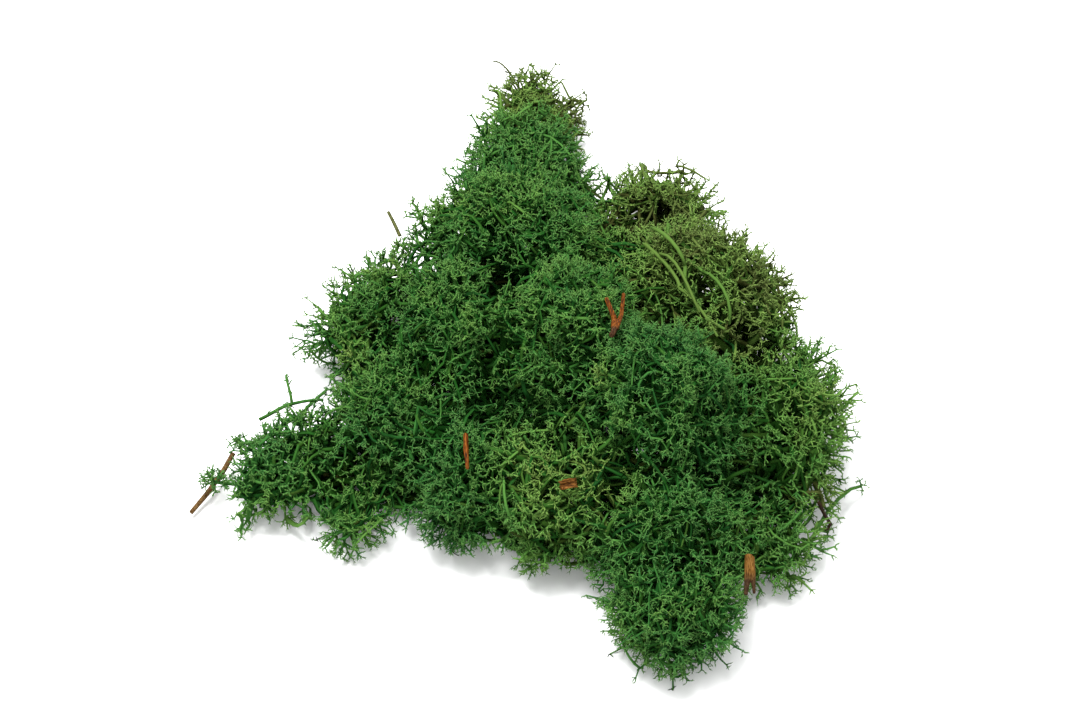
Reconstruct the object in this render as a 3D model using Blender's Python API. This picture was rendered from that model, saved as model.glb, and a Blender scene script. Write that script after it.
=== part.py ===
"""A clump of preserved reindeer moss, in metres, +Z up, resting on z = 0.

Springy tufts are pressed together in one loose heap, with the pine needles, bark and twigs that were
gathered with them caught in the top. Each tuft is a lumpy dome with a flat foot, cut flat where its
neighbours press against it. The needles and twigs are short rods and flakes laid on the domes.
The origin is under the middle of the heap, on the table.
"""

import math

import bmesh
import bpy
from mathutils import Euler, Vector, noise
from mathutils.bvhtree import BVHTree

MM = 0.001

# --- driving dimensions ---------------------------------------------------------------------------------
GAP = 0.3 * MM  # clear space between pieces that touch
WELD = 0.04 * MM  # cut corners closer than this are one point
LUMP = 9.0 * MM  # width of the lumps on a tuft
LUMP_DEPTH = 0.16  # height of those lumps, as a share of the tuft's radius
FOOT_SHARE = 0.42  # a tuft is widest at this share of its height
NEIGHBOURLY = 1.25  # tufts nearer than this share of their two radii trim each other
FINE, COARSE = 4, 3  # icosphere steps for a large and a small tuft
NEEDLE_THICK = 1.3  # mm; room that a pine needle needs where it lies on the domes
SPLINTER_THICK = 1.6  # mm; the same for the bark splinter
CHIP_THICK = 2.0  # mm; the same for the tilted chip of bark

# name: x and y of its middle, height, radius along x and along y, in mm;
# then its taper towards +y, its turn in degrees and its detail
TUFTS = {
    "spire_tip_tuft": (1, 78, 13, 12, 13, 0.35, 0, COARSE),
    "spire_tuft": (0, 56, 22, 16.5, 18, 0.18, 0, COARSE),
    "back_right_tuft": (27, 45, 20, 14.5, 11.5, 0.0, 15, COARSE),
    "crown_back_tuft": (-3, 30, 34, 22, 20, 0.12, 0, FINE),
    "upper_left_tuft": (-30, 16, 24, 14, 18, 0.1, -32, COARSE),
    "left_lobe_tuft": (-47, -18, 17, 11.5, 16.5, -0.05, -52, COARSE),
    "small_left_tuft": (-34.5, -29, 12, 6.5, 8, 0.0, 0, COARSE),
    "left_front_tuft": (-23, -10, 28, 17.5, 16, 0.0, 0, COARSE),
    "centre_left_tuft": (-13, 7, 36, 16, 18, 0.0, 0, COARSE),
    "centre_right_tuft": (9, 4, 41, 17, 18, 0.0, 0, COARSE),
    "olive_tuft": (37, 17, 33, 21, 15.5, 0.0, -35, FINE),
    "right_tuft": (53, -10, 26, 12.5, 20, 0.0, -4, COARSE),
    "cushion_tuft": (27, -15, 46, 18, 17, 0.0, 0, FINE),
    "front_dome_tuft": (-11, -26, 26, 13, 12, 0.0, 0, COARSE),
    "front_mid_tuft": (6, -28, 28, 16, 14, 0.0, 0, COARSE),
    "front_right_tuft": (27, -36, 30, 17, 14, 0.0, 0, COARSE),
    "bottom_lobe_tuft": (28, -52, 24, 14.5, 12.5, -0.12, 0, COARSE),
    "right_low_tuft": (47, -35, 16, 11, 11, 0.0, 0, COARSE),
}


def clear_scene():
    for obj in list(bpy.data.objects):
        bpy.data.objects.remove(obj, do_unlink=True)


def finish(name, colour, roughness):
    material = bpy.data.materials.new(name)
    material.use_nodes = True
    shader = material.node_tree.nodes["Principled BSDF"]
    shader.inputs["Base Color"].default_value = (*colour, 1.0)
    shader.inputs["Roughness"].default_value = roughness
    shader.inputs["Metallic"].default_value = 0.0
    material.diffuse_color = (*colour, 1.0)
    return material


def add_object(name, data, material):
    data.materials.append(material)
    obj = bpy.data.objects.new(name, data)
    bpy.context.scene.collection.objects.link(obj)
    return obj


def millimetres(*numbers):
    return Vector(numbers) * MM


# --- tufts ----------------------------------------------------------------------------------------------
class Tuft:
    """The dome that one tuft fills: an ellipsoid that is widest a little above its foot."""

    def __init__(self, name, x, y, height, radius_x, radius_y, taper, turn, detail):
        self.name = name
        self.centre = millimetres(x, y, height * FOOT_SHARE)
        self.radii = millimetres(radius_x, radius_y, height * (1 - FOOT_SHARE))
        self.taper = taper
        self.turn = math.radians(turn)
        self.detail = detail

    def surface(self, out):
        """The point of the lumpy dome that lies out along a unit vector."""
        narrowed = 1 - self.taper * out.y
        place = Vector((out.x * self.radii.x * narrowed, out.y * self.radii.y, out.z * self.radii.z))
        place.rotate(Euler((0, 0, self.turn)))
        lump = noise.noise((self.centre + place) / LUMP)
        return self.centre + place * (1 + LUMP_DEPTH * lump)

    def reach(self, direction):
        """Distance from the centre to the plain ellipsoid's surface, along a unit vector."""
        across = direction.copy()
        across.rotate(Euler((0, 0, -self.turn)))
        return 1 / math.sqrt(sum((a / r) ** 2 for a, r in zip(across, self.radii)))

    def touches(self, other):
        apart = (other.centre - self.centre).length
        return apart < NEIGHBOURLY * (max(self.radii) + max(other.radii))

    def pressed_plane(self, other):
        """The plane where two tufts press together: a point on it and its normal, away from this tuft."""
        line = other.centre - self.centre
        apart = line.length
        line.normalize()
        along = (apart**2 + self.reach(line) ** 2 - other.reach(-line) ** 2) / (2 * apart)
        return self.centre + line * along, line


def trim(bm, point, normal):
    """Cuts away what lies beyond the plane and closes the cut with a flat face."""
    everything = bm.verts[:] + bm.edges[:] + bm.faces[:]
    bmesh.ops.bisect_plane(
        bm, geom=everything, dist=GAP / 1000, plane_co=point, plane_no=normal, clear_outer=True
    )
    rim = [edge for edge in bm.edges if edge.is_boundary]
    if rim:
        bmesh.ops.holes_fill(bm, edges=rim, sides=0)


def make_tuft(tuft, others, material):
    bm = bmesh.new()
    bmesh.ops.create_icosphere(bm, subdivisions=tuft.detail, radius=1.0)
    for vert in bm.verts:
        vert.co = tuft.surface(vert.co.normalized())
    for other in others:
        if tuft.touches(other):
            point, normal = tuft.pressed_plane(other)
            trim(bm, point - normal * GAP / 2, normal)
    trim(bm, Vector((0, 0, 0)), Vector((0, 0, -1)))
    bmesh.ops.remove_doubles(bm, verts=bm.verts[:], dist=WELD)
    bmesh.ops.recalc_face_normals(bm, faces=bm.faces[:])
    mesh = bpy.data.meshes.new(tuft.name)
    bm.to_mesh(mesh)
    bm.free()
    mesh.shade_smooth()
    return add_object(tuft.name, mesh, material)


# --- needles and twigs ----------------------------------------------------------------------------------
def top_of_heap(domes, x, y):
    """Height of the highest dome over a place in the plan, or 0 on the table."""
    down = Vector((0, 0, -1))
    start = Vector((x, y, 1))
    hits = [dome.ray_cast(start, down)[0] for dome in domes]
    return max([hit.z for hit in hits if hit] + [0.0])


def lift_to_rest(domes, points, thickness):
    """How far a rod or chip, in mm, has to rise to lie on the domes without pressing into them."""
    reach = thickness / 2 * MM + GAP
    steps = 12
    lift = -1.0
    for first, second in zip(points, points[1:]):
        for step in range(steps + 1):
            place = millimetres(*first).lerp(millimetres(*second), step / steps)
            for turn in range(8):
                side = Vector((math.cos(turn * math.pi / 4), math.sin(turn * math.pi / 4), 0)) * reach
                top = top_of_heap(domes, place.x + side.x, place.y + side.y)
                lift = max(lift, top + reach - place.z)
    return lift / MM


def raised(points, lift):
    return [(x, y, z + lift) for x, y, z in points]


def make_rod(name, points, radii, material, sides=8):
    """A round rod through points in mm, with a radius in mm at each, and closed ends."""
    curve = bpy.data.curves.new(name, "CURVE")
    curve.dimensions = "3D"
    curve.resolution_u = 1
    curve.bevel_depth = MM
    curve.bevel_resolution = sides // 2 - 2
    curve.use_fill_caps = True
    spline = curve.splines.new("POLY")
    spline.points.add(len(points) - 1)
    for knot, place, radius in zip(spline.points, points, radii):
        knot.co = (*millimetres(*place), 1.0)
        knot.radius = radius
    return add_object(name, curve, material)


def as_mesh(rod):
    """The rod as a mesh object of the same name, welded shut at its caps."""
    name = rod.name
    mesh = bpy.data.meshes.new_from_object(rod.evaluated_get(bpy.context.evaluated_depsgraph_get()))
    bpy.data.objects.remove(rod, do_unlink=True)
    bm = bmesh.new()
    bm.from_mesh(mesh)
    bmesh.ops.remove_doubles(bm, verts=bm.verts[:], dist=WELD)
    bmesh.ops.recalc_face_normals(bm, faces=bm.faces[:])
    bm.to_mesh(mesh)
    bm.free()
    obj = bpy.data.objects.new(name, mesh)
    bpy.context.scene.collection.objects.link(obj)
    return obj


def grown_together(main, *parts):
    """Joins rods that grew as one piece."""
    main = as_mesh(main)
    for part in parts:
        part = as_mesh(part)
        part.hide_render = True
        part.display_type = "WIRE"
        union = main.modifiers.new("grown_together", "BOOLEAN")
        union.operation = "UNION"
        union.solver = "EXACT"
        union.object = part
    return main


def make_flake(name, centre, size, tilt, material):
    """A chip of bark: a flattened, uneven lump, tilted with the dome that it lies on."""
    bm = bmesh.new()
    bmesh.ops.create_icosphere(bm, subdivisions=2, radius=1.0)
    for vert in bm.verts:
        uneven = 1 + 0.25 * noise.noise(vert.co * 1.7)
        vert.co = Vector([c * s / 2 * uneven for c, s in zip(vert.co, millimetres(*size))])
        vert.co.rotate(Euler([math.radians(angle) for angle in tilt]))
        vert.co += millimetres(*centre)
    mesh = bpy.data.meshes.new(name)
    bm.to_mesh(mesh)
    bm.free()
    return add_object(name, mesh, material)


# --- the heap -------------------------------------------------------------------------------------------
clear_scene()

moss = finish("green_moss", (0.035, 0.13, 0.03), 0.85)
needle = finish("dry_needle", (0.36, 0.10, 0.025), 0.5)
bark = finish("brown_bark", (0.20, 0.09, 0.035), 0.8)

tufts = [Tuft(name, *sizes) for name, sizes in TUFTS.items()]
tuft_objects = [make_tuft(tuft, [other for other in tufts if other is not tuft], moss) for tuft in tufts]
bpy.context.view_layer.update()
graph = bpy.context.evaluated_depsgraph_get()
domes = [BVHTree.FromObject(obj, graph) for obj in tuft_objects]

# a pair of pine needles, still joined in their sheath
left_needle = [(16.8, -9.6, 2.4), (17.0, -5.6, 0.9), (15.6, -1.0, 0.8)]
right_needle = [(17.4, -9.4, 2.4), (18.4, -5.0, 0.9), (19.0, 0.6, 0.0)]
sheath = [(16.4, -11.4, 3.0), (17.2, -8.6, 2.0)]
lift = max(lift_to_rest(domes, rod, NEEDLE_THICK) for rod in (left_needle, right_needle, sheath))
grown_together(
    make_rod("needle_pair", raised(left_needle, lift), [0.5, 0.55, 0.4], needle),
    make_rod("needle_pair_second", raised(right_needle, lift), [0.42, 0.45, 0.35], needle),
    make_rod("needle_pair_sheath", raised(sheath, lift), [0.55, 0.62], bark),
)

straight = [(-11.0, -22.6, 0.0), (-10.9, -26.2, 0.4), (-10.5, -30.4, 0.0)]
lift = lift_to_rest(domes, straight, NEEDLE_THICK)
make_rod("straight_needle", raised(straight, lift), [0.5, 0.52, 0.35], needle)

# a splinter of bark, split at its lower end
whole_side = [(41.9, -45.0, 2.0), (41.6, -48.6, 1.2), (41.1, -52.4, 0.0)]
split_side = [(42.3, -45.4, 2.0), (42.5, -48.8, 1.1), (42.7, -52.0, -0.2)]
lift = max(lift_to_rest(domes, rod, SPLINTER_THICK) for rod in (whole_side, split_side))
grown_together(
    make_rod("split_splinter", raised(whole_side, lift), [0.75, 0.7, 0.4], bark),
    make_rod("split_splinter_prong", raised(split_side, lift), [0.7, 0.55, 0.3], bark),
)

chip = [(7.2, -34.2, 0.0), (9.6, -34.2, 0.0)]
lift = lift_to_rest(domes, chip, CHIP_THICK)
make_flake("bark_flake", (8.4, -34.2, lift), (3.6, 2.4, 1.2), (35, 0, 0), bark)

# twigs and a root that stick out of the sides of the heap
make_rod(
    "left_twig",
    [(-66.4, -24.8, 1.6), (-63.4, -20.6, 2.2), (-60.4, -15.8, 3.2), (-58.6, -12.4, 4.4)],
    [0.5, 0.58, 0.6, 0.55],
    bark,
)
make_rod(
    "root_hook",
    [(56.8, -29.2, 13.0), (58.3, -30, 9.6), (59.7, -30.4, 6.8), (59.2, -31, 5.9), (58.6, -31.3, 6.1)],
    [0.4, 0.4, 0.42, 0.33, 0.28],
    bark,
    sides=6,
)
make_rod(
    "stub_twig",
    [(-25.8, 29.1, 22.0), (-27.0, 31.8, 22.6), (-28.4, 34.6, 23.2)],
    [0.45, 0.42, 0.38],
    moss,
    sides=6,
)

# the origin goes under the middle of the heap
bpy.context.view_layer.update()
pieces = [obj for obj in bpy.context.scene.objects if not obj.hide_render]
corners = [obj.matrix_world @ Vector(corner) for obj in pieces for corner in obj.bound_box]
lowest = Vector([min(corner[axis] for corner in corners) for axis in range(3)])
highest = Vector([max(corner[axis] for corner in corners) for axis in range(3)])
heap = bpy.data.objects.new("moss_clump", None)
bpy.context.scene.collection.objects.link(heap)
heap.location = (-(lowest.x + highest.x) / 2, -(lowest.y + highest.y) / 2, -lowest.z)
for obj in bpy.context.scene.objects:
    if obj is not heap:
        obj.parent = heap
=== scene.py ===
"""Looks of the moss clump: preserved, dyed reindeer moss with a few needles, chips and twigs caught in it."""

import math

import bpy
import numpy as np
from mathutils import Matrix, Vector, noise
from mathutils.bvhtree import BVHTree
from mathutils.kdtree import KDTree


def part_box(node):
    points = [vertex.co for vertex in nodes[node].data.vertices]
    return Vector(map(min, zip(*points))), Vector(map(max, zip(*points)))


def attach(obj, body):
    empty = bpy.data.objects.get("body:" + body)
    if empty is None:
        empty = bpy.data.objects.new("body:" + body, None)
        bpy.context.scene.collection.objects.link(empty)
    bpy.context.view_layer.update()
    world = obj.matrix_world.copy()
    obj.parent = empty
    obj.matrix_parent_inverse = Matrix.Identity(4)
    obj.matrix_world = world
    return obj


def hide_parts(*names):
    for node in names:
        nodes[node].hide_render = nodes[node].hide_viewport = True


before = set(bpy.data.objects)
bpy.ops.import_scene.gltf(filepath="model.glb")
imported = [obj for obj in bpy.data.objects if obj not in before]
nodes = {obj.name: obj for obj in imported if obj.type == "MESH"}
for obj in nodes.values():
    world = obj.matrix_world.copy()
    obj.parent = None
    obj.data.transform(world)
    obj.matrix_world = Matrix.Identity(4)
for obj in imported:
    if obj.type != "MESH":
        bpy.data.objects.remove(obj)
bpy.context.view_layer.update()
MM = 0.001
bpy.ops.object.select_all(action="DESELECT")


# ---------------------------------------------------------------- table and light
# The clump lies on a plain white table, under a broad soft light from high up at the back left.
# The camera looks down on it from the front.
bpy.ops.mesh.primitive_plane_add(size=6)
table = bpy.context.object
table.name = "table"
paper = bpy.data.materials.new("white_paper")
paper.use_nodes = True
paper.node_tree.nodes["Principled BSDF"].inputs["Base Color"].default_value = (0.93, 0.93, 0.935, 1)
paper.node_tree.nodes["Principled BSDF"].inputs["Roughness"].default_value = 0.9
table.data.materials.append(paper)

AIM = Vector((4.85, -11.96, 15.98)) * MM  # the middle of the view, inside the heap
LOOK_DOWN = math.radians(55)
CAMERA_AWAY = 425 * MM
camera_data = bpy.data.cameras.new("camera")
camera_data.lens = 70
camera_data.sensor_width = 36
camera = bpy.data.objects.new("camera", camera_data)
bpy.context.scene.collection.objects.link(camera)
camera.location = AIM + Vector((0, -math.cos(LOOK_DOWN), math.sin(LOOK_DOWN))) * CAMERA_AWAY
camera.rotation_euler = (math.pi / 2 - LOOK_DOWN, 0, 0)
bpy.context.scene.camera = camera

LAMP_AT = Vector((-0.15, 0.13, 0.87))
lamp_data = bpy.data.lights.new("soft_lamp", "AREA")
lamp_data.shape = "DISK"
lamp_data.size = 0.36
lamp_data.energy = 14
lamp = bpy.data.objects.new("soft_lamp", lamp_data)
bpy.context.scene.collection.objects.link(lamp)
lamp.location = LAMP_AT
lamp.rotation_euler = (-LAMP_AT).to_track_quat("-Z", "Y").to_euler()

world = bpy.data.worlds.new("white_room")
world.use_nodes = True
world.node_tree.nodes["Background"].inputs["Color"].default_value = (1, 1, 1, 1)
world.node_tree.nodes["Background"].inputs["Strength"].default_value = 1.15
bpy.context.scene.world = world
bpy.context.scene.view_settings.view_transform = "Standard"


# ---------------------------------------------------------------- moss
# Each tuft is one cushion of reindeer moss: a stem forks again and again, three ways at a time, until it
# ends in little stars that together make the rounded outside. It is dyed in a bath, so colour varies in patches.
class Shade:
    """A socket in a material, so that sums on it can be written as plain Python."""

    def __init__(self, tree, socket=None):
        self.tree = tree
        self.socket = socket

    def node(self, kind, settings=None, output=0, **inputs):
        """A new node with its settings made first, then its sockets, each by its name or as i and its number."""
        made = self.tree.nodes.new(kind)
        for name, value in (settings or {}).items():
            if name == "stops":
                ramp = made.color_ramp
                while len(ramp.elements) < len(value):
                    ramp.elements.new(0.5)
                for element, (place, colour) in zip(ramp.elements, value):
                    element.position = place
                    element.color = (*colour, 1)
            else:
                setattr(made, name, value)
        for name, value in inputs.items():
            socket = made.inputs[int(name[1:])] if name[1:].isdigit() else made.inputs[name.replace("_", " ")]
            if isinstance(value, Shade):
                self.tree.links.new(value.socket, socket)
            else:
                socket.default_value = value
        return Shade(self.tree, made.outputs[output])

    def maths(self, operation, first, second):
        """One sum, on two sockets or a socket and a number."""
        return self.node("ShaderNodeMath", {"operation": operation}, i0=first, i1=second)

    def __add__(self, other):
        return self.maths("ADD", self, other)

    def __radd__(self, other):
        return self.maths("ADD", other, self)

    def __mul__(self, other):
        return self.maths("MULTIPLY", self, other)

    def __rmul__(self, other):
        return self.maths("MULTIPLY", other, self)


def new_material(name):
    """A material, the maker of its nodes, and its main shader."""
    material = bpy.data.materials.new(name)
    material.use_nodes = True
    return material, Shade(material.node_tree), material.node_tree.nodes["Principled BSDF"]


def moss_material(name):
    """Cottony, matt lichen. One vertex value runs from 0 in the old stem to 1 at the tips. Towards 0 the stems are
    near black: their own darker colour with painted shade of the depths of the clump. The very points carry a
    painted highlight.
    The vertex value dye runs from blue-green at 0 through leaf green to olive at 1."""
    material, make, shader = new_material(name)
    links = material.node_tree.links
    age = make.node("ShaderNodeAttribute", {"attribute_name": "age"}, output="Fac")
    dye = make.node("ShaderNodeAttribute", {"attribute_name": "dye"}, output="Fac")
    tips = make.node("ShaderNodeValToRGB", {"stops": (
        (0.0, (0.028, 0.118, 0.030)),
        (0.3, (0.042, 0.148, 0.030)),
        (0.55, (0.088, 0.206, 0.038)),
        (0.78, (0.138, 0.232, 0.048)),
        (1.0, (0.066, 0.088, 0.022)),
    )}, Fac=dye)
    # the old stems deep in the clump: their own darker colour with painted shade of the depths, near black
    stems_with_painted_shade = make.node("ShaderNodeValToRGB", {"stops": (
        (0.0, (0.002, 0.028, 0.002)),
        (0.4, (0.003, 0.040, 0.002)),
        (0.7, (0.012, 0.046, 0.003)),
        (1.0, (0.030, 0.034, 0.007)),
    )}, Fac=dye)
    mixed = make.node("ShaderNodeMix", {"data_type": "RGBA"}, output=2, i0=age, i6=stems_with_painted_shade, i7=tips)
    # the very points are paler: a painted highlight on the tips
    painted_highlight_green = (0.22, 0.34, 0.10, 1)
    highlight_share = make.node("ShaderNodeMapRange", i0=age, i1=0.88, i2=1.0, i3=0.0, i4=0.22)
    mixed = make.node("ShaderNodeMix", {"data_type": "RGBA"}, output=2, i0=highlight_share, i6=mixed, i7=painted_highlight_green)
    links.new(mixed.socket, shader.inputs["Base Color"])
    place = make.node("ShaderNodeTexCoord", output="Object")
    fluff = make.node("ShaderNodeTexNoise", Vector=place, Scale=5200.0, Detail=3.0, Roughness=0.6)
    rough = 0.68 + 0.22 * fluff
    links.new(rough.socket, shader.inputs["Roughness"])
    bump = make.node("ShaderNodeBump", Height=fluff, Strength=0.35, Distance=0.08 * MM)
    links.new(bump.socket, shader.inputs["Normal"])
    shader.inputs["Specular IOR Level"].default_value = 0.04
    return material


def near_tree(points):
    """A tree that finds which of these points are near a place."""
    tree = KDTree(len(points))
    for i, point in enumerate(points):
        tree.insert(point, i)
    tree.balance()
    return tree


def spread_out(points, spacing):
    """Indices of points left when each keeps the others at its own spacing."""
    tree = near_tree(points)
    free = np.ones(len(points), bool)
    kept = []
    for i, point in enumerate(points):
        if free[i]:
            kept.append(i)
            for _, j, _ in tree.find_range(point, spacing[i]):
                free[j] = False
    return np.array(kept)


def nearest(points, seeds):
    """For each point, the index of the nearest seed and how far it is."""
    tree = near_tree(seeds)
    found = [tree.find(point)[1:] for point in points]
    return np.array([f[0] for f in found]), np.array([f[1] for f in found])


def only(keep, *parts):
    """The same choice of rows from each of several arrays."""
    return [part[keep] for part in parts]


def unit(vectors):
    """The same ways, each one long."""
    return vectors / np.maximum(np.linalg.norm(vectors, axis=-1, keepdims=True), 1e-12)


def group_mean(values, group, count):
    """The mean of the values in each group."""
    total = np.zeros((count, values.shape[1]))
    np.add.at(total, group, values)
    return total / np.maximum(np.bincount(group, minlength=count), 1)[:, None]


class Moss:
    """Tapered round strands gathered into one mesh."""

    SWAY = 0.10  # how far a strand strays from its curve, against its length
    OVERRUN = 0.12  # how much of a step a strand runs on past its fork

    def __init__(self, rng):
        self.rng = rng
        self.points, self.faces, self.age, self.dye, self.side, self.count = [], [], [], [], [], 0

    def strands(self, path, radius, age, dye, sides):
        """Adds strands along these paths, which are strands x stations x 3. The last station is a strand's point."""
        number, stations = radius.shape
        age = np.broadcast_to(age, radius.shape)
        along = unit(np.gradient(path, axis=1))
        across = unit(np.cross(path[:, -1] - path[:, 0], self.rng.normal(size=(number, 3))))[:, None]
        across = unit(across - (across * along).sum(-1, keepdims=True) * along)
        beside = np.cross(along, across)
        turn = 2 * np.pi * np.arange(sides) / sides
        ring = across[:, :, None] * np.cos(turn)[:, None] + beside[:, :, None] * np.sin(turn)[:, None]
        rings = (path[:, :, None] + radius[:, :, None, None] * ring)[:, :-1].reshape(number, -1, 3)
        points = np.concatenate([rings, path[:, -1:]], axis=1)
        size = points.shape[1]
        faces = []
        for s in range(stations - 2):
            for j in range(sides):
                a, b = s * sides + j, s * sides + (j + 1) % sides
                faces += [(a, b, b + sides), (a, b + sides, a + sides)]
        last = (stations - 2) * sides
        faces += [(last + j, last + (j + 1) % sides, size - 1) for j in range(sides)]
        faces += [(0, j + 1, j) for j in range(1, sides - 1)]
        faces = np.array(faces)[None] + (self.count + size * np.arange(number))[:, None, None]
        self.points.append(points.reshape(-1, 3))
        self.faces.append(faces.reshape(-1, 3))
        ring_age = np.concatenate([np.repeat(age[:, :-1], sides, axis=1), age[:, -1:]], axis=1)
        self.age.append(ring_age.ravel())
        self.dye.append(np.repeat(dye, size))
        self.side.append(np.tile(np.append(np.tile(np.arange(sides), stations - 1), 0), number))
        self.count += number * size

    def branches(self, start, start_way, end, end_way, thick, thin, age, dye, sides, stations):
        """Bent strands from start to end, which leave and arrive near the given ways."""
        reach = np.linalg.norm(end - start, axis=1)[:, None]
        ahead = unit(end - start)
        start_way, end_way = 0.8 * unit(0.5 * start_way + ahead), 0.8 * unit(0.9 * end_way + ahead)
        sway = self.rng.normal(size=start.shape) * reach * self.SWAY
        t = np.linspace(0, 1, stations)[None, :, None]
        a, b, c, d = 2 * t**3 - 3 * t**2 + 1, t**3 - 2 * t**2 + t, 3 * t**2 - 2 * t**3, t**3 - t**2
        leaving, arriving = (start_way * reach)[:, None], (end_way * reach)[:, None]
        path = a * start[:, None] + b * leaving + c * end[:, None] + d * arriving
        path = path + (4 * t * (1 - t)) * sway[:, None]
        # a last short station past the fork closes the strand inside its children
        path = np.concatenate([path, path[:, -1:] + (path[:, -1:] - path[:, -2:-1]) * self.OVERRUN], axis=1)
        share = np.concatenate([np.linspace(0, 1, stations), [1]])[None]
        self.strands(path, thick * (1 - share) + thin * share, age[0] * (1 - share) + age[1] * share, dye, sides)

    def object(self, name, material):
        """The strands as an object, with the dye of every vertex and the value along each strand that sets its age
        and its painted shade and highlight, lying on the table and not in it.
        """
        points = np.concatenate(self.points).astype(np.float32)
        faces = np.concatenate(self.faces).astype(np.int32)
        points[:, 2] = np.maximum(points[:, 2], 0.05 * MM)
        mesh = bpy.data.meshes.new(name)
        mesh.vertices.add(len(points))
        mesh.vertices.foreach_set("co", points.ravel())
        mesh.loops.add(faces.size)
        mesh.loops.foreach_set("vertex_index", faces.ravel())
        mesh.polygons.add(len(faces))
        mesh.polygons.foreach_set("loop_start", np.arange(0, faces.size, 3, dtype=np.int32))
        mesh.update(calc_edges=True)
        age, dye, side = (np.concatenate(values) for values in (self.age, self.dye, self.side))
        mesh.attributes.new("age", "FLOAT", "POINT").data.foreach_set("value", age.astype(np.float32))
        mesh.attributes.new("dye", "FLOAT", "POINT").data.foreach_set("value", dye.astype(np.float32))
        # colour, painted shade and highlight included, depends on the value along the strand and the dye alone, so
        # those two are the map; the side of the ring keeps faces open
        flat = np.stack([
            0.03 + 0.92 * np.clip(age, 0, 1) + 0.008 * (side % 2),
            0.03 + 0.88 * (dye - dye.min()) / np.ptp(dye) + 0.012 * side,
        ], axis=1).astype(np.float32)
        mesh.uv_layers.new(name="OFBake").data.foreach_set("uv", flat[faces.ravel()].ravel())
        mesh.shade_smooth()
        made = bpy.data.objects.new(name, mesh)
        bpy.context.scene.collection.objects.link(made)
        made.data.materials.append(material)
        return made


def mesh_arrays(node):
    """The corners and the triangles of a solid of the frame."""
    corners = np.array([v.co for v in node.data.vertices])
    triangles = np.array([p.vertices[:] for p in node.data.polygons])
    return corners, triangles


# spacing of the stars in millimetres, thickness of the strands against the usual, dye (0 blue-green to 1 olive),
# how far the heads bulge in millimetres, how open the tuft is (0 closed to 1 lacy), and the material slot
TUFTS = {
    "spire_tip_tuft": (1.30, 1.15, 0.84, 1.5, 1.0, "olive_moss"),
    "spire_tuft": (1.25, 1.15, 0.36, 2.0, 0.7, "green_moss"),
    "back_right_tuft": (1.30, 1.1, 0.88, 2.0, 0.6, "olive_moss"),
    "crown_back_tuft": (1.18, 1.0, 0.35, 2.5, 0.4, "green_moss"),
    "upper_left_tuft": (1.22, 1.0, 0.42, 2.5, 1.0, "green_moss"),
    "left_lobe_tuft": (1.30, 1.15, 0.33, 2.0, 0.7, "green_moss"),
    "small_left_tuft": (1.25, 1.0, 0.42, 1.5, 0.9, "green_moss"),
    "left_front_tuft": (1.18, 0.95, 0.3, 3.0, 0.2, "green_moss"),
    "centre_left_tuft": (1.15, 0.95, 0.32, 3.0, 0.0, "green_moss"),
    "centre_right_tuft": (1.15, 0.95, 0.35, 3.0, 0.0, "green_moss"),
    "olive_tuft": (1.25, 1.1, 0.80, 2.0, 0.1, "olive_moss"),
    "right_tuft": (1.22, 1.0, 0.55, 2.0, 1.0, "olive_moss"),
    "cushion_tuft": (1.06, 0.92, 0.22, 3.0, 0.0, "deep_green_moss"),
    "front_dome_tuft": (1.12, 0.95, 0.25, 2.5, 0.0, "deep_green_moss"),
    "front_mid_tuft": (1.38, 1.15, 0.52, 3.0, 0.1, "green_moss"),
    "front_right_tuft": (1.18, 0.95, 0.3, 3.0, 0.2, "deep_green_moss"),
    "bottom_lobe_tuft": (1.15, 0.95, 0.32, 2.5, 0.3, "deep_green_moss"),
    "right_low_tuft": (1.22, 1.0, 0.5, 2.0, 0.7, "green_moss"),
}
# long bare stems that stand out: start and end, thickness at each in millimetres, and dye
LONG_STEMS = {
    "olive_tuft": (
        ((26.0, 12.0, 29.4), (32.5, 2.0, 29.8), 0.9, 0.75, 0.72),
        ((32.5, 2.0, 29.8), (40.0, -10.0, 25.0), 0.8, 0.7, 0.72),
        ((29.5, 13.0, 29.6), (36.0, 1.0, 29.4), 0.8, 0.7, 0.66),
        ((36.0, 1.0, 29.4), (41.0, -9.0, 25.4), 0.75, 0.65, 0.66),
        ((24.5, 7.0, 30.6), (31.0, -3.0, 29.2), 0.8, 0.7, 0.78),
        ((31.0, -3.0, 29.2), (38.5, -12.0, 25.4), 0.75, 0.65, 0.78),
        ((34.0, 11.0, 29.8), (40.0, 1.0, 28.0), 0.75, 0.65, 0.7),
        ((27.5, 4.0, 31.2), (35.0, -8.0, 28.0), 0.7, 0.6, 0.8),
    ),
    "spire_tip_tuft": (
        ((-2.8, 73.4, 7.4), (-7.2, 76.4, 9.0), 0.5, 0.35, 1.25),
        ((11.0, 62.6, 7.0), (14.0, 65.6, 8.2), 0.5, 0.45, 0.9),
    ),
    "right_tuft": (
        ((57.0, -38.0, 13.0), (58.6, -43.0, 12.0), 0.9, 0.7, 1.3),
        ((54.6, -41.0, 13.5), (58.0, -41.0, 13.5), 0.8, 0.6, 1.3),
    ),
    "left_lobe_tuft": (
        ((-52.9, -19.8, 7.5), (-46.3, -17.0, 9.0), 0.8, 0.8, 0.4),
        ((-46.3, -17.0, 9.0), (-47.6, -10.6, 10.0), 0.7, 0.45, 0.45),
        ((-44.0, -19.0, 8.5), (-39.5, -14.0, 10.0), 0.8, 0.6, 0.4),
        ((-46.3, -17.0, 9.0), (-40.0, -17.0, 10.5), 0.75, 0.6, 0.35),
    ),
}
LITTER = [name for name in nodes if name not in TUFTS]
moss_colour = {slot: moss_material(slot) for slot in ("green_moss", "deep_green_moss", "olive_moss")}
arrays = {name: mesh_arrays(nodes[name]) for name in nodes}


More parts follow.
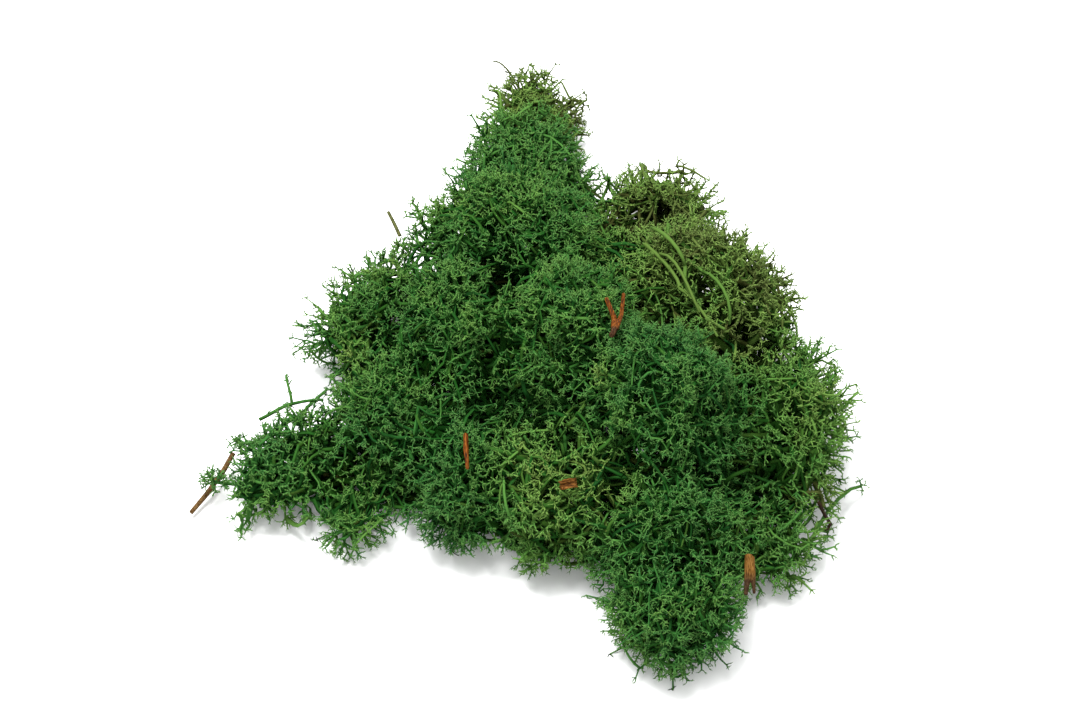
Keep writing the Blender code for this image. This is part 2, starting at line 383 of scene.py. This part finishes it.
def tree_of(wanted):
    """A tree that finds the nearest place on these solids of the frame."""
    parts = [arrays[name] for name in wanted]
    offsets = np.cumsum([0] + [len(c) for c, _ in parts])
    return BVHTree.FromPolygons(
        np.concatenate([c for c, _ in parts]).tolist(),
        np.concatenate([t + o for (_, t), o in zip(parts, offsets)]).tolist(),
    )


def scatter(corners, triangles, many, rng):
    """Places strewn evenly over a surface, and which way each one faces."""
    a, b, c = (corners[triangles[:, k]] for k in range(3))
    facing = np.cross(b - a, c - a)
    area = np.linalg.norm(facing, axis=1) / 2
    pick = rng.choice(len(area), many, p=area / area.sum())
    u, v = rng.random((2, many, 1))
    flip = (u + v) > 1
    u, v = np.where(flip, 1 - u, u), np.where(flip, 1 - v, v)
    return a[pick] + u * (b - a)[pick] + v * (c - a)[pick], unit(facing[pick])


def merged_copy(node, name):
    """A copy of a solid of the frame with its loose triangles merged, added to what is selected."""
    copy = bpy.data.objects.new(name, nodes[node].data.copy())
    bpy.context.scene.collection.objects.link(copy)
    copy.select_set(True)
    bpy.context.view_layer.objects.active = copy
    bpy.ops.object.mode_set(mode="EDIT")
    bpy.ops.mesh.select_all(action="SELECT")
    bpy.ops.mesh.remove_doubles(threshold=0.01 * MM)
    bpy.ops.object.mode_set(mode="OBJECT")
    return copy


def worked(piece, kind, **settings):
    """Works the active piece with one modifier."""
    modifier = piece.modifiers.new(kind.lower(), kind)
    for setting, value in settings.items():
        setattr(modifier, setting, value)
    bpy.ops.object.modifier_apply(modifier=modifier.name)


# the outline of the whole heap: every tuft swollen until they merge, then drawn in again
SWELL = 3.5 * MM
bpy.ops.object.select_all(action="DESELECT")
for name in TUFTS:
    worked(merged_copy(name, "swollen_" + name), "DISPLACE", strength=SWELL, mid_level=0)
bpy.ops.object.join()
heap = bpy.context.object
worked(heap, "REMESH", mode="VOXEL", voxel_size=1.1 * MM)
worked(heap, "SMOOTH", factor=0.5, iterations=6)
worked(heap, "DISPLACE", strength=-SWELL, mid_level=0)
heap.data.calc_loop_triangles()
heap_corners = np.array([v.co for v in heap.data.vertices])
heap_triangles = np.array([t.vertices[:] for t in heap.data.loop_triangles])
bpy.data.objects.remove(heap)
heap_tree = BVHTree.FromPolygons(heap_corners.tolist(), heap_triangles.tolist())

litter_tree = tree_of(LITTER)
names = list(TUFTS)
tuft_trees = [tree_of([name]) for name in names]
spacing_of, _, dye_of, bulge_of, openness_of = np.array([TUFTS[name][:5] for name in names]).T
rng = np.random.default_rng(7)
UP, DOWN = Vector((0, 0, 1)), Vector((0, 0, -1))
BLEND = 2.5 * MM  # over which one tuft gives way to the next


def owners(points):
    """The nearest tuft to each point, how strongly each tuft is felt there, and how far the nearest is."""
    far = np.array([[tree.find_nearest(Vector(p))[3] for tree in tuft_trees] for p in points])
    felt = np.exp(-far / BLEND) + 1e-12
    return far.argmin(axis=1), felt / felt.sum(axis=1, keepdims=True), far.min(axis=1)


def inside(points, depth):
    """Whether each point is at least this deep in the heap."""
    result = []
    for p in points:
        spot, normal, _, far = heap_tree.find_nearest(Vector(p))
        _, roof, _, _ = heap_tree.ray_cast(Vector(p), UP)
        result.append((Vector(p) - spot).dot(normal) < 0 and far > depth and roof is not None and roof.z > 0)
    return np.array(result)


# places on the table with nothing above them, to tell what is well under the heap
ROUND = 8 * MM
low, high = heap_corners.min(axis=0), heap_corners.max(axis=0)
columns = np.arange(low[0] - ROUND, high[0] + ROUND, MM)
rows = np.arange(low[1] - ROUND, high[1] + ROUND, MM)
open_table = near_tree([
    (x, y, 0) for x in columns for y in rows if heap_tree.ray_cast(Vector((x, y, -MM)), UP)[0] is None
])


def under(points, margin):
    """Whether each point is under the heap, this far in from its edge in the plan."""
    return np.array([open_table.find((x, y, 0))[2] > margin for x, y, _ in points])


def buried(points, depth):
    """Whether each point is under the heap and at least this deep below its top, even in a hollow between tufts."""
    roof = [heap_tree.ray_cast(Vector((x, y, 100 * MM)), DOWN)[0] for x, y, _ in points]
    below = np.array([spot is not None and spot.z - z > depth for spot, (_, _, z) in zip(roof, points)])
    return below & under(points, 4.5 * MM)


def drawn_in(points, root, depth):
    """The points, with those that lie outside the heap brought in under its skin, towards the root."""
    result = points.copy()
    for i, p in enumerate(points):
        spot, normal, _, _ = heap_tree.find_nearest(Vector(p))
        roof = heap_tree.ray_cast(Vector(p), UP)[1]
        if (Vector(p) - spot).dot(normal) > 0 or roof is None or roof.z < 0:
            result[i] = np.array(spot) + unit(root - np.array(spot)) * depth
    return result


# places for the stars, spread over the skin of the heap
SKIN_PLACES = 90000
FAR_FROM_TUFTS = 4.5 * MM
SKY_RAYS = 8
skin, out = scatter(heap_corners, heap_triangles, SKIN_PLACES, rng)
underside = (skin[:, 2] < 1.0 * MM) & (out[:, 2] < -0.3)
skin, out = only(~underside, skin, out)
owner, felt, far = owners(skin)
skin, out, owner, felt = only(far < FAR_FROM_TUFTS, skin, out, owner, felt)
skin, out, owner, felt = only(spread_out(skin, (felt @ spacing_of) * MM), skin, out, owner, felt)
open_sky = np.zeros(len(skin))
for _ in range(SKY_RAYS):
    ways = unit(out + 0.8 * unit(rng.normal(size=out.shape)))
    open_sky += [heap_tree.ray_cast(Vector(p + w * MM), Vector(w), 20 * MM)[0] is None for p, w in zip(skin, ways)]
open_sky /= SKY_RAYS
keep = rng.random(len(skin)) < 0.5 + 1.3 * open_sky
skin, out, owner, felt = only(keep, skin, out, owner, felt)

# heads: domes of stars, at two sizes, which fade out beside the litter so that it rests on them
tips = skin + rng.normal(size=skin.shape) * 0.25 * MM
bulge = (felt @ bulge_of) * MM
litter_far = np.array([litter_tree.find_nearest(Vector(p), 8 * MM)[3] or 8 * MM for p in skin])
for head, share in ((12 * MM, 1.0), (5.5 * MM, 0.7)):
    order = rng.permutation(len(skin))
    seeds = skin[order][spread_out(skin[order], np.full(len(skin), head * 0.8))]
    _, far = nearest(skin, seeds)
    drop = share * bulge * np.minimum((far / (head * 0.55)) ** 2, 1.2)
    tips -= out * (drop * np.clip((litter_far - 2 * MM) / (6 * MM), 0.15, 1))[:, None]
LUMPS, SMALL_LUMPS = 170, 380  # to a metre
lump = np.array([noise.noise(Vector(p) * LUMPS) + 0.6 * noise.noise(Vector(p) * SMALL_LUMPS) for p in skin])
tips += out * ((rng.normal(size=len(skin)) * 0.35 + 1.3 * np.clip(lump, -1, 0.6) - 0.1) * MM)[:, None]

# lacy sides: some tips stand out further, and others are missing
lace = felt @ openness_of
sideways = np.abs(out[:, 2]) < 0.75
standing = sideways & (rng.random(len(skin)) < 0.05 + 0.2 * lace)
tips[standing] += (out * rng.uniform(0.8, 3.0, (len(skin), 1)) * MM)[standing]
keep = ~sideways | standing | (rng.random(len(skin)) > 0.55 * lace)
tips, out, owner, felt = only(keep, tips, out, owner, felt)

# hollows between the heads: middle, radius and depth in millimetres
for middle, radius, depth in (
    ((39.4, -39.0, 29.5), 2.6, 3.5),
    ((40.0, -41.7, 24.0), 2.8, 3.5),
    ((9.4, -36.0, 24.9), 2.4, 3.5),
    ((-15.4, -33.3, 24.4), 2.2, 3.0),
    ((22.5, -4.5, 32.0), 2.4, 4.0),
    ((25.5, -6.0, 27.0), 2.8, 3.5),
    ((28.4, -21.1, 43.3), 2.2, 3.5),
    ((31.8, -23.4, 41.6), 2.7, 4.0),
    ((34.1, -31.4, 44.9), 2.2, 3.5),
    ((35.4, -33.3, 42.8), 2.0, 3.0),
    ((41.2, -12.5, 24.0), 2.6, 3.5),
    ((15.5, 43.0, 12.4), 2.2, 4.0),
    ((16.4, 34.4, 15.0), 2.4, 4.0),
):
    near = np.linalg.norm(tips - np.array(middle) * MM, axis=1) < radius * MM
    keep = ~near | (rng.random(len(tips)) < 0.35)
    tips[near] -= out[near] * depth * MM
    tips, out, owner, felt = only(keep, tips, out, owner, felt)

# past this end of the left lobe there is only a small head of its own, over the twig
LEFT_END = -56.8 * MM
tips, out, owner, felt = only(tips[:, 0] > LEFT_END, tips, out, owner, felt)
# heads and sprigs that stand clear of the domes: the tuft they grow from, middle and radius in millimetres, stars
names_at = {name: i for i, name in enumerate(names)}
sprig = np.full(len(tips), -1)
sprig_middle = []
for tuft, middle, radius, many in (
    ("left_lobe_tuft", (-60.8, -33.8, 6.2), 2.5, 34),
    ("left_lobe_tuft", (-57.0, -25.0, 7.5), 1.3, 8),
    ("spire_tip_tuft", (13.2, 65.0, 7.6), 1.3, 5),
    ("right_low_tuft", (67.6, -33.0, 3.4), 1.1, 4),
    ("right_low_tuft", (60.4, -43.2, 2.8), 1.5, 8),
    ("crown_back_tuft", (-21.6, 22.6, 21.0), 1.5, 8),
    ("crown_back_tuft", (-22.9, 25.0, 21.2), 0.7, 3),
    ("upper_left_tuft", (-24.8, 14.4, 20.6), 1.9, 16),
):
    ways = unit(rng.normal(size=(many, 3)) + [0, 0, 0.5])
    sprig = np.concatenate([sprig, np.full(many, len(sprig_middle))])
    sprig_middle.append(np.array(middle) * MM)
    tips = np.concatenate([tips, np.array(middle) * MM + ways * radius * MM * rng.uniform(0.7, 1.1, (many, 1))])
    out = np.concatenate([out, ways])
    owner = np.concatenate([owner, np.full(many, names_at[tuft])])
    felt = np.concatenate([felt, np.tile(np.eye(len(names))[names_at[tuft]], (many, 1))])
near_litter = np.array([litter_tree.find_nearest(Vector(p), 1.1 * MM)[0] is not None for p in tips])
keep = ~near_litter | (rng.random(len(tips)) < 0.12)
tips, out, owner, felt, sprig = only(keep, tips, out, owner, felt, sprig)

# the dye takes in patches, and some places took it lighter: middle, radius in millimetres, and how much more olive
PATCHES = 70  # to a metre
PATCHY, SPECKLED = 0.22, 0.05
patch = np.array([noise.fractal(Vector(p) * PATCHES, 0.7, 2.0, 3) for p in tips])
dye = felt @ dye_of + PATCHY * patch + SPECKLED * rng.normal(size=len(tips))
for middle, radius, more in (
    ((14.0, -29.8, 37.8), 4.0, 0.55),
    ((17.1, -38.6, 34.0), 4.5, 0.5),
    ((17.3, -43.0, 25.0), 5.0, 0.35),
    ((7.5, -47.0, 24.0), 9.0, 0.15),
    ((-34.2, -10.9, 19.2), 4.5, 0.35),
    ((25.0, -3.5, 27.0), 4.0, 0.45),
    ((41.0, -11.0, 24.0), 5.0, 0.4),
    ((56.5, -39.5, 12.5), 3.5, 0.7),
    ((11.5, 60.0, 9.0), 6.0, 0.35),
):
    far = np.linalg.norm(tips - np.array(middle) * MM, axis=1)
    dye += more * np.exp(-((far / (radius * MM)) ** 2))

# the tangle of old stems inside: places, each joined to another one near it
TANGLE_PLACES, FILLING_PLACES = 5000, 900
TANGLE_DEPTH = 1.8 * MM
inner, inner_out = scatter(heap_corners, heap_triangles, TANGLE_PLACES, rng)
inner = inner - inner_out * rng.uniform(3.0, 8.0, (len(inner), 1)) * MM
inner[:, 2] = np.clip(inner[:, 2], 0.6 * MM, None)
filling = rng.uniform([low[0], low[1], 2 * MM], [high[0], high[1], 30 * MM], (9000, 3))
filling = filling[buried(filling, 6 * MM) & ~inside(filling, 0.0)][:FILLING_PLACES]
inner = np.concatenate([inner[inside(inner, TANGLE_DEPTH)], filling])
inner_owner, inner_felt, _ = owners(inner)
loose = (inner_felt @ openness_of > 0.6) & ~inside(inner, 4.5 * MM) & (rng.random(len(inner)) < 0.6)
inner, inner_owner = only(~loose, inner, inner_owner)


def partner(rng, tree, place, reach, allowed, otherwise):
    """One of the places within reach, picked at random, that isn't too near and is allowed."""
    found = [j for _, j, far in tree.find_range(place, reach) if far > 3.5 * MM and allowed(j)]
    return found[int(rng.integers(len(found)))] if found else otherwise


tree = near_tree(inner)
other_end = np.array([partner(rng, tree, place, 9 * MM, lambda j: True, -1) for place in inner])
joined = other_end >= 0
inner, inner_owner, inner_end = inner[joined], inner_owner[joined], inner[other_end[joined]]
middles = (inner + inner_end) / 2
covered = inside(middles, TANGLE_DEPTH) | buried(middles, 5 * MM)
inner, inner_owner, inner_end = only(covered, inner, inner_owner, inner_end)

# the underside: old stems matted flat against the table
MAT_STEMS = 2700
floor_mat = rng.uniform(low, high, (9000, 3))
floor_mat[:, 2] = rng.uniform(0.8, 3.5, len(floor_mat)) * MM
turn = rng.uniform(0, 2 * np.pi, len(floor_mat))
mat_way = np.stack([np.cos(turn), np.sin(turn), np.zeros(len(turn))], axis=1)
mat_reach = rng.uniform(2.5, 5, (len(floor_mat), 1)) * MM
good = under(floor_mat, 5 * MM)
for side in (-1, 1):
    end = floor_mat + side * mat_way * mat_reach
    # nor does an end show under the edge from in front
    good &= under(end, 5 * MM) & under(end + [0, -4 * MM, 0], 4 * MM)
good &= np.cumsum(good) <= MAT_STEMS
floor_mat, mat_way, mat_reach = only(good, floor_mat, mat_way, mat_reach)
floor_owner, _, _ = owners(floor_mat)

# levels of forks from the tips down: spacing of the forks, depth under the skin and radius there in millimetres,
# # and age there, where a lower age also paints the deeper stems darker as shade
FORKS = (
    (2.0, 1.2, 0.22, 0.72),
    (3.7, 2.9, 0.32, 0.45),
    (7.0, 6.0, 0.52, 0.22),
    (13.0, 11.0, 0.75, 0.08),
)
TIP_RADIUS, ROOT_RADIUS = 0.17, 1.0
# the ages at the tips and at the root; towards 0 the stems are painted dark as shade
TIP_AGE_AND_SHADE, ROOT_AGE_AND_SHADE = 0.95, 0.0
radii = [TIP_RADIUS] + [fork[2] for fork in FORKS] + [ROOT_RADIUS]
ages_and_shades = [TIP_AGE_AND_SHADE] + [fork[3] for fork in FORKS] + [ROOT_AGE_AND_SHADE]
# the stars: how far the arms lean out in degrees, their radius in millimetres, and the length of their points
# against the spacing of the stars
LEAST_LEAN, MOST_LEAN = 25, 80
ARM_RADIUS = 0.155
POINT_LENGTH = 0.62

for seed, (name, (spacing, stout, dye_mean, _, _, slot)) in enumerate(TUFTS.items()):
    rng = np.random.default_rng(100 + seed)
    moss = Moss(rng)
    corners = arrays[name][0]
    mine = owner == seed

    # forks from the tips down to the root: tips that are close together meet in one fork, and so on
    centre = corners.mean(axis=0)
    root = np.array([centre[0], centre[1], 0.12 * corners[:, 2].max()])
    own = mine & (sprig < 0)
    chain = [{"at": tips[own], "way": out[own], "dye": dye[own]}]
    groups = []
    above = 0
    for fork, depth, _, _ in FORKS:
        at, way, dyed = chain[-1]["at"], chain[-1]["way"], chain[-1]["dye"]
        order = rng.permutation(len(at))
        seeds = order[spread_out(at[order], np.full(len(at), fork * MM * stout**0.5))]
        group, _ = nearest(at, at[seeds])
        mid = group_mean(at, group, len(seeds))
        mean_way = unit(group_mean(way, group, len(seeds)))
        home = root - mid
        room = np.linalg.norm(home, axis=1, keepdims=True)
        inward = unit(0.55 * -mean_way + 0.45 * unit(home))
        down = np.minimum((depth - above) * MM, room * 0.6)
        above = depth
        mid = mid + inward * down + rng.normal(size=mid.shape) * 0.12 * fork * MM
        mid = drawn_in(mid, root, 0.4 * depth * MM)
        mean_way = unit(mean_way + 0.3 * rng.normal(size=mid.shape))
        chain.append({"at": mid, "way": mean_way, "dye": group_mean(dyed[:, None], group, len(seeds))[:, 0]})
        groups.append(group)
    chain.append({"at": root[None], "way": np.array([[0, 0, 1.0]]), "dye": np.array([dye_mean])})
    groups.append(np.zeros(len(chain[-2]["at"]), int))
    for k, group in enumerate(groups):
        child, parent = chain[k], chain[k + 1]
        number = len(group)
        wide = stout * MM * np.exp(0.18 * rng.normal(size=(number, 1)))
        moss.branches(
            parent["at"][group], parent["way"][group], child["at"], child["way"],
            radii[k + 1] * wide * 0.9, radii[k] * wide, (ages_and_shades[k + 1], ages_and_shades[k]), child["dye"],
            sides=3 if k < 2 else 4, stations=(2, 3, 4, 5, 6)[k],
        )

    # sprigs on a thin stem of their own, which forks once before its stars
    for k, middle in enumerate(sprig_middle):
        at, way, dyed = only(mine & (sprig == k), tips, out, dye)
        if len(at):
            from_here = chain[2]["at"][np.linalg.norm(chain[2]["at"] - middle, axis=1).argmin()][None]
            heading = unit(middle[None] - from_here)
            moss.branches(
                from_here, heading, middle[None], heading, np.array([[0.42 * MM]]), np.array([[0.32 * MM]]),
                (0.5, 0.7), dyed[:1], sides=4, stations=5,
            )
            seeds = spread_out(at, np.full(len(at), 2.0 * MM))
            group, _ = nearest(at, at[seeds])
            knots = 0.5 * group_mean(at, group, len(seeds)) + 0.5 * middle
            ways = unit(group_mean(way, group, len(seeds)))
            many = len(knots)
            moss.branches(
                np.tile(middle, (many, 1)), np.tile(heading, (many, 1)), knots, ways,
                np.full((many, 1), 0.25 * MM), np.full((many, 1), 0.2 * MM),
                (0.68, 0.78), group_mean(dyed[:, None], group, many)[:, 0], sides=4, stations=3,
            )
            moss.branches(
                knots[group], ways[group], at, way,
                np.full((len(at), 1), 0.19 * MM), np.full((len(at), 1), 0.16 * MM),
                (0.78, 0.95), dyed, sides=3, stations=2,
            )

    # short side sprigs on the forks under the outside
    for k, (length, thick, share) in enumerate(((1.2, 0.15, 2), (1.8, 0.2, 3))):
        node_at = np.repeat(chain[k + 1]["at"], share, axis=0)
        node_way = np.repeat(chain[k + 1]["way"], share, axis=0)
        node_dye = np.repeat(chain[k + 1]["dye"], share)
        way = unit(unit(rng.normal(size=node_at.shape)) + 0.55 * node_way)
        bend = unit(way + 0.5 * rng.normal(size=way.shape))
        long = length * MM * rng.uniform(0.6, 1.2, (len(way), 1))
        elbow = node_at + way * long * 0.6
        path = np.stack([node_at, elbow, elbow + bend * long * 0.6], axis=1)
        wide = thick * stout * MM * np.exp(0.15 * rng.normal(size=(len(way), 1)))
        age = np.array([[0.6, 0.75, 0.85]]) - 0.2 * k
        moss.strands(path, wide * np.array([[1.0, 0.85, 0.3]]), age, node_dye, 3)

    # the tangle of old stems inside
    start, end = only(inner_owner == seed, inner, inner_end)
    wave = unit(rng.normal(size=start.shape))
    thick = 0.42 * MM * stout * np.exp(0.2 * rng.normal(size=(len(start), 1)))
    moss.branches(
        start, unit(end - start + 0.006 * wave), end, unit(end - start - 0.006 * wave),
        thick, 0.30 * MM * stout * np.ones((len(start), 1)),
        (0.12, 0.35), dye_mean + 0.15 * rng.normal(size=len(start)), sides=3, stations=4,
    )

    # longer stems that lie along the outside, more of them in the stouter tufts
    at, way, dyed = chain[1]["at"], chain[1]["way"], chain[1]["dye"]
    tree = near_tree(at)
    share = 0.16 if stout > 1.05 else 0.07
    chosen = rng.choice(len(at), max(4, int(len(at) * share)), replace=False)
    ends = np.array([
        partner(rng, tree, at[i], 8.5 * MM, lambda j: way[i] @ way[j] > 0.5, i) for i in chosen
    ])
    chosen, ends = only(ends != chosen, chosen, ends)
    wide = stout**2 * MM * np.exp(0.2 * rng.normal(size=(len(chosen), 1)))
    moss.branches(
        at[chosen], 1.5 * way[chosen] + 1.5 * rng.normal(size=(len(chosen), 3)),
        at[ends] + way[ends] * 0.4 * MM, 1.5 * rng.normal(size=(len(chosen), 3)),
        0.26 * wide, 0.18 * wide, (0.6, 0.85), dyed[chosen] + 0.08, sides=4, stations=5,
    )

    # old brown stems matted on the underside, near black: their own dark colour with painted shade under the heap
    mat, heading, reach = only(floor_owner == seed, floor_mat, mat_way, mat_reach)
    turn = rng.normal(size=mat.shape) * [1, 1, 0.1]
    moss.branches(
        mat - heading * reach, heading + 0.4 * turn, mat + heading * reach, heading - 0.4 * turn,
        np.full((len(mat), 1), 0.7 * MM), np.full((len(mat), 1), 0.55 * MM),
        (0.0, 0.1), 0.55 + 0.2 * rng.normal(size=len(mat)), sides=3, stations=3,
    )

    # long bare stems that stand out, with short side shoots
    for begin, finish, thick, thin, tint in LONG_STEMS.get(name, ()):
        begin, finish = np.array([begin]) * MM, np.array([finish]) * MM
        heading = unit(finish - begin)
        moss.branches(
            begin, heading + 0.6 * rng.normal(size=(1, 3)), finish, heading + 0.6 * rng.normal(size=(1, 3)),
            np.array([[thick / 2 * MM]]), np.array([[thin / 2 * MM]]), (0.42, 0.6), np.array([tint]),
            sides=5, stations=7,
        )
        shoots = 7
        foot = begin + (finish - begin) * rng.uniform(0.1, 0.95, (shoots, 1))
        way = unit(np.cross(heading, unit(rng.normal(size=foot.shape))) + 0.7 * heading)
        long = rng.uniform(1.2, 2.6, (shoots, 1)) * MM * min(1.0, thick)
        bend = unit(way + 0.5 * rng.normal(size=way.shape))
        path = np.stack([foot, foot + way * long * 0.6, foot + bend * long * 1.1], axis=1)
        wide = thick * 0.24 * MM * np.tile([1.0, 0.85, 0.35], (shoots, 1))
        moss.strands(path, wide, np.array([[0.55, 0.7, 0.9]]), np.full(shoots, tint), 4)

    # the stars: each arm of a star ends in two or three short points
    number = int(mine.sum())
    arms = rng.choice([3, 3, 3, 4], number)
    star = np.repeat(np.arange(number), arms)
    axis = unit(out[mine] + 0.45 * rng.normal(size=(number, 3)))[star]
    start = np.concatenate([np.arange(n) / n for n in arms])
    spin = 2 * np.pi * (start + rng.random(number)[star] + 0.08 * rng.normal(size=len(star)))
    side = unit(np.cross(axis, rng.normal(size=(number, 3))[star]))
    other = np.cross(axis, side)
    lean = np.radians(rng.uniform(LEAST_LEAN, MOST_LEAN, len(star)))[:, None]
    fan = side * np.cos(spin)[:, None] + other * np.sin(spin)[:, None]
    first = axis * np.cos(lean) + fan * np.sin(lean)
    second = unit(first + 0.55 * rng.normal(size=first.shape) + 0.25 * axis)
    length = MM * spacing * rng.uniform(0.6, 1.05, (len(star), 1))
    foot = tips[mine][star]
    knee = foot + first * length * 0.5
    end = knee + second * length * 0.5
    path = np.stack([foot - first * 0.1 * MM, knee, end], axis=1)
    thick = stout * MM * ARM_RADIUS * np.exp(0.15 * rng.normal(size=(len(star), 1)))
    arm_dye = dye[mine][star] + 0.03 * rng.normal(size=len(star))
    moss.strands(path, thick * np.array([[1.0, 0.85, 0.5]]), np.array([[0.85, 0.95, 1.0]]), arm_dye, 3)
    points = rng.choice([2, 2, 3], len(star))
    arm = np.repeat(np.arange(len(star)), points)
    way = unit(second[arm] + 0.75 * unit(rng.normal(size=(len(arm), 3))))
    long = MM * POINT_LENGTH * spacing * rng.uniform(0.6, 1.1, (len(arm), 1))
    foot = knee[arm] + (end - knee)[arm] * rng.uniform(0.35, 0.95, (len(arm), 1))
    path = np.stack([foot - way * 0.05 * MM, foot + way * long], axis=1)
    moss.strands(path, thick[arm] * np.array([[0.78, 0.3]]), np.array([[0.97, 1.0]]), arm_dye[arm], 3)

    piece = moss.object("moss_" + name.removesuffix("_tuft"), moss_colour[slot])
    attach(piece, "root")
    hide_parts(name)


# ---------------------------------------------------------------- pine needles
# Two dry pine needles, still joined in their papery sheath, lie on the top, and a single one lies at the front.
# They are round-backed with fine grooves along them, and have dried to a deep orange.
def softened(node, name, voxel):
    """A finer copy of a solid of the frame, with its edges rounded off."""
    bpy.ops.object.select_all(action="DESELECT")
    piece = merged_copy(node, name)
    piece.data.materials.clear()
    worked(piece, "REMESH", mode="VOXEL", voxel_size=voxel)
    worked(piece, "SMOOTH", factor=0.5, iterations=3)
    bpy.ops.object.shade_smooth()
    return piece


def fibre(make, turn, dark, middle, light):
    """Streaks along a dry piece that lies at this turn from the y axis: their colour, and their height."""
    across_it, along_it = 5200, 330  # streaks to a metre
    place = make.node("ShaderNodeTexCoord", output="Object")
    turned = make.node("ShaderNodeVectorRotate", {"rotation_type": "Z_AXIS"}, Vector=place, Angle=turn)
    finely = (across_it, along_it, across_it)
    fine = make.node("ShaderNodeVectorMath", {"operation": "MULTIPLY"}, i0=turned, i1=finely)
    streaks = make.node("ShaderNodeTexNoise", Vector=fine, Scale=1.0, Detail=4.0, Roughness=0.6)
    stops = ((0.38, dark), (0.5, middle), (0.66, light))
    return make.node("ShaderNodeValToRGB", {"stops": stops}, Fac=streaks), streaks


def dry_material(name, turn, tones, end_tones=None, border=0.0, blend=500.0):
    """Dry plant fibre. Its end_tones are for the part below y = border, and a high blend makes them meet sharply."""
    material, make, shader = new_material(name)
    colour, streaks = fibre(make, turn, *tones)
    if end_tones:
        end_colour, _ = fibre(make, turn, *end_tones)
        place = make.node("ShaderNodeTexCoord", output="Object")
        y = make.node("ShaderNodeSeparateXYZ", output=1, Vector=place)
        share = make.node(
            "ShaderNodeMath", {"operation": "MULTIPLY_ADD", "use_clamp": True},
            i0=y, i1=blend, i2=0.5 - blend * border,
        )
        colour = make.node("ShaderNodeMix", {"data_type": "RGBA"}, output=2, i0=share, i6=end_colour, i7=colour)
    material.node_tree.links.new(colour.socket, shader.inputs["Base Color"])
    bump = make.node("ShaderNodeBump", Height=streaks, Strength=0.6, Distance=0.12 * MM)
    material.node_tree.links.new(bump.socket, shader.inputs["Normal"])
    shader.inputs["Roughness"].default_value = 0.55
    shader.inputs["Specular IOR Level"].default_value = 0.04
    return material


def settle(piece, node, material):
    """Gives a piece of the litter its material and its place in the frame."""
    piece.data.materials.append(material)
    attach(piece, "root")
    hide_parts(node)


needle_tones = (0.018, 0.005, 0.002), (0.100, 0.027, 0.003), (0.225, 0.072, 0.011)
sheath_tones = (0.010, 0.005, 0.003), (0.036, 0.015, 0.006), (0.075, 0.036, 0.015)
pair = softened("needle_pair", "needle_pair_dry", 0.13 * MM)
settle(pair, "needle_pair", dry_material(
    "dry_needle", 0.06, needle_tones, sheath_tones, -22.4 * MM, 900.0,
))
single = softened("straight_needle", "straight_needle_dry", 0.12 * MM)
settle(single, "straight_needle", dry_material("dry_needle_single", -0.06, needle_tones))

# ---------------------------------------------------------------- bark and twigs
# A splinter of inner bark, split at its lower end, a brown twig, a thin hooked root, a stub of a twig that took
# some of the dye, and a curled flake of pine bark in two layers: all dry, each as it came in with the moss.
splinter = softened("split_splinter", "split_splinter_bark", 0.13 * MM)
settle(splinter, "split_splinter", dry_material(
    "splinter_bark", 0.02, ((0.045, 0.018, 0.004), (0.115, 0.052, 0.009), (0.180, 0.090, 0.024)),
    ((0.010, 0.005, 0.003), (0.034, 0.017, 0.007), (0.060, 0.033, 0.017)), -62.6 * MM, 600.0,
))
twig = softened("left_twig", "left_twig_bark", 0.14 * MM)
settle(twig, "left_twig", dry_material(
    "twig_bark", -0.58, ((0.040, 0.020, 0.006), (0.105, 0.056, 0.018), (0.150, 0.092, 0.040)),
))
hook = softened("root_hook", "root_hook_bark", 0.12 * MM)
settle(hook, "root_hook", dry_material(
    "root_bark", 0.3, ((0.007, 0.004, 0.003), (0.020, 0.010, 0.006), (0.042, 0.022, 0.013)),
))
stub = softened("stub_twig", "stub_twig_bark", 0.12 * MM)
settle(stub, "stub_twig", dry_material(
    "stub_bark", 0.3, ((0.030, 0.034, 0.011), (0.065, 0.072, 0.022), (0.110, 0.115, 0.040)),
))

# the flake's two thin plates, ragged at the edge and curled: width, depth and height in millimetres
flake_low, flake_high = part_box("bark_flake")
flake_middle = (Vector(flake_low) + Vector(flake_high)) / 2
plates = []
for layer, (wide, deep, rise) in enumerate(((3.2, 1.5, -0.25), (2.7, 1.2, 0.5))):
    bpy.ops.object.select_all(action="DESELECT")
    bpy.ops.mesh.primitive_grid_add(x_subdivisions=18, y_subdivisions=10, size=1, location=(0, 0, 0))
    plate = bpy.context.object
    for vert in plate.data.vertices:
        x, y = vert.co.x, vert.co.y
        ragged = 1 + 0.35 * noise.noise(Vector((5 * x, 5 * y, 3.0 + layer)))
        curl = 1.6 * y * y + 0.5 * x * x + 0.25 * noise.noise(Vector((4 * x, 4 * y, 7.0 + layer)))
        vert.co = Vector((x * wide * ragged, y * deep * ragged, curl + rise)) * MM
    worked(plate, "SOLIDIFY", thickness=0.22 * MM)
    bpy.ops.object.shade_smooth()
    plates.append(plate)
for plate in plates:
    plate.select_set(True)
bpy.ops.object.join()
flake = bpy.context.object
flake.name = "bark_flake_layers"
flake.rotation_euler = (math.radians(40), math.radians(-6), math.radians(8))
flake.location = flake_middle
bpy.ops.object.transform_apply(location=True, rotation=True, scale=True)
settle(flake, "bark_flake", dry_material(
    "flake_bark", 1.5, ((0.014, 0.005, 0.002), (0.090, 0.033, 0.005), (0.200, 0.088, 0.020)),
))
